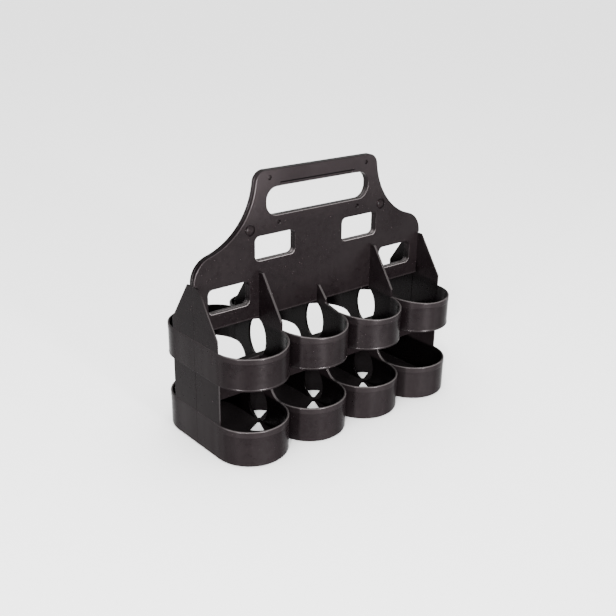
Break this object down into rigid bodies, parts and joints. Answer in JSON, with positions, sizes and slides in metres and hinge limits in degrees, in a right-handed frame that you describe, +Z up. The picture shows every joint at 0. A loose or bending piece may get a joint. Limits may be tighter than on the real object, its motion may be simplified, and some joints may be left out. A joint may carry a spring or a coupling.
{
  "type": "bottle carrier",
  "caption": "Open hand-held carrier for round bottles: two rows of ringed cups either side of an upright grip plate with a hand slot and cut-out windows.",
  "frame": {"origin": "centre of the carrier's base, on the surface it stands on", "axes": "+X along the carrier's length and the grip, +Y from the front row of cups to the rear row, +Z up through the grip"},
  "size_m": [0.341, 0.17, 0.3005],
  "materials": {
    "black_plastic": "satin moulded polypropylene",
    "rivet_plastic": "smooth moulded"
  },
  "bodies": {
    "root": {"front_grip_plate": "black_plastic", "front_middle_panel": "black_plastic", "front_end_wall_left": "black_plastic", "front_end_wall_right": "black_plastic", "front_divider_1": "black_plastic", "front_divider_2": "black_plastic", "front_divider_3": "black_plastic", "front_ring_1": "black_plastic", "front_ring_2": "black_plastic", "front_ring_3": "black_plastic", "front_ring_4": "black_plastic", "front_cup_1": "black_plastic", "front_cup_2": "black_plastic", "front_cup_3": "black_plastic", "front_cup_4": "black_plastic", "rear_grip_plate": "black_plastic", "rear_middle_panel": "black_plastic", "rear_end_wall_left": "black_plastic", "rear_end_wall_right": "black_plastic", "rear_divider_1": "black_plastic", "rear_divider_2": "black_plastic", "rear_divider_3": "black_plastic", "rear_ring_1": "black_plastic", "rear_ring_2": "black_plastic", "rear_ring_3": "black_plastic", "rear_ring_4": "black_plastic", "rear_cup_1": "black_plastic", "rear_cup_2": "black_plastic", "rear_cup_3": "black_plastic", "rear_cup_4": "black_plastic", "small_rivet_1": "rivet_plastic", "small_rivet_2": "rivet_plastic", "small_rivet_3": "rivet_plastic", "small_rivet_4": "rivet_plastic", "large_rivet_left": "rivet_plastic", "large_rivet_right": "rivet_plastic"}
  },
  "joints": []
}
